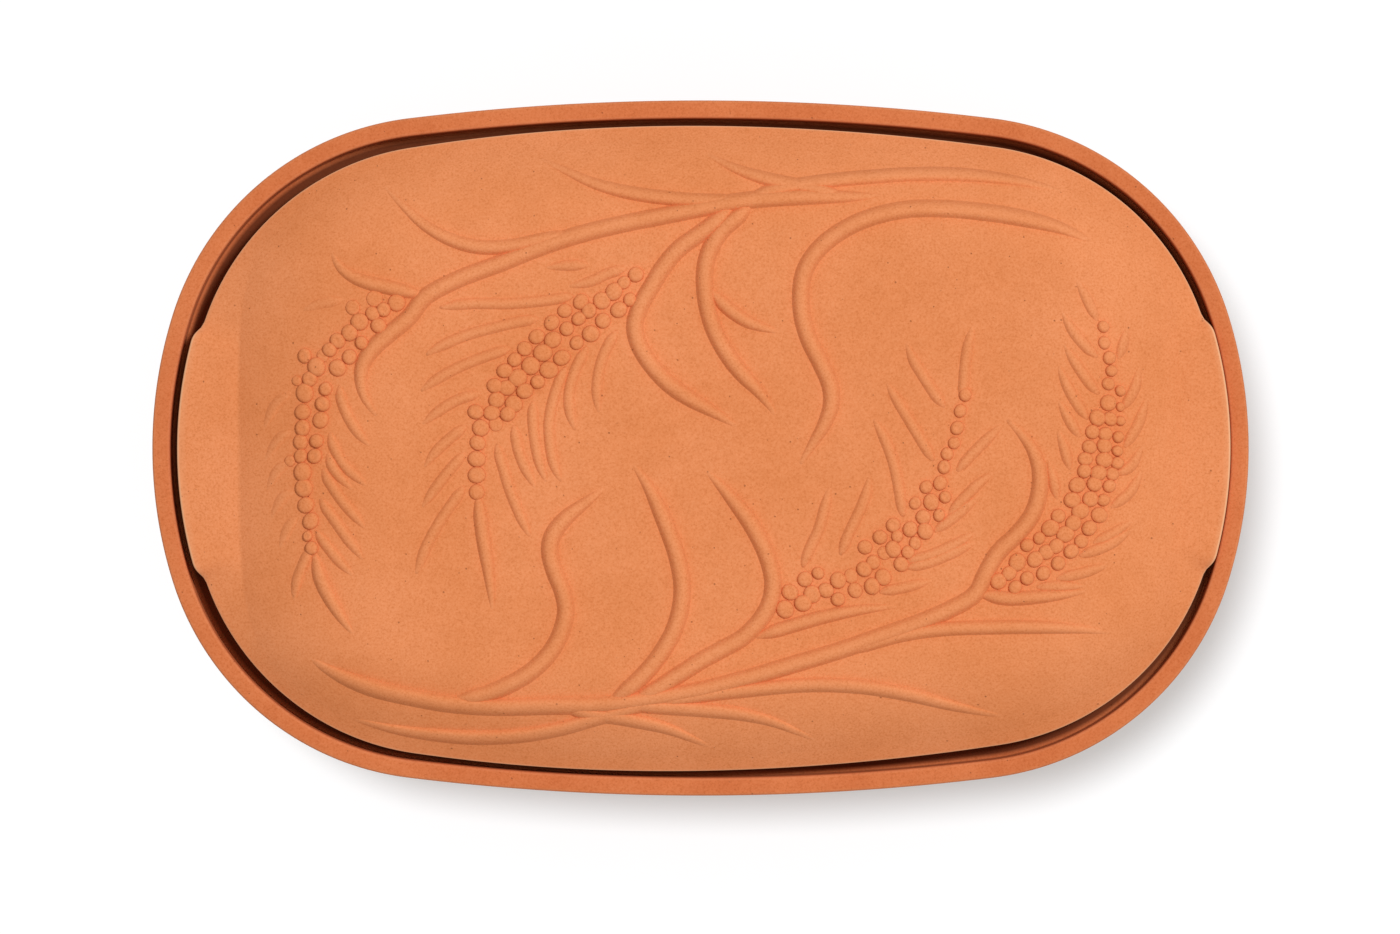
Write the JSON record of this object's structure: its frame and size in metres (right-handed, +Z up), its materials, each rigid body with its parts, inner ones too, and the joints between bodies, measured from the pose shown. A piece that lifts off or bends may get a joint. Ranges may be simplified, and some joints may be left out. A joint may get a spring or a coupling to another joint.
{
  "type": "bread pot",
  "caption": "Oval unglazed clay pot for keeping or baking bread, with a low domed lid that lifts off by two end lugs and carries raised ears of grain.",
  "frame": {"origin": "centre of the foot ring's plane, on the table under the middle of the pot", "axes": "+X along the pot's length, towards one lug; +Y across it; +Z up"},
  "size_m": [0.38, 0.241, 0.1608],
  "materials": {
    "pot_clay": "matte",
    "lid_clay": "matte"
  },
  "bodies": {
    "pot": {"pot": "pot_clay"},
    "lid": {"lid": "lid_clay"}
  },
  "joints": [
    {"name": "lid_lift", "type": "slide", "parent": "pot", "child": "lid", "axis": [0, 0, 1], "range_m": [0, 0.15]}
  ]
}
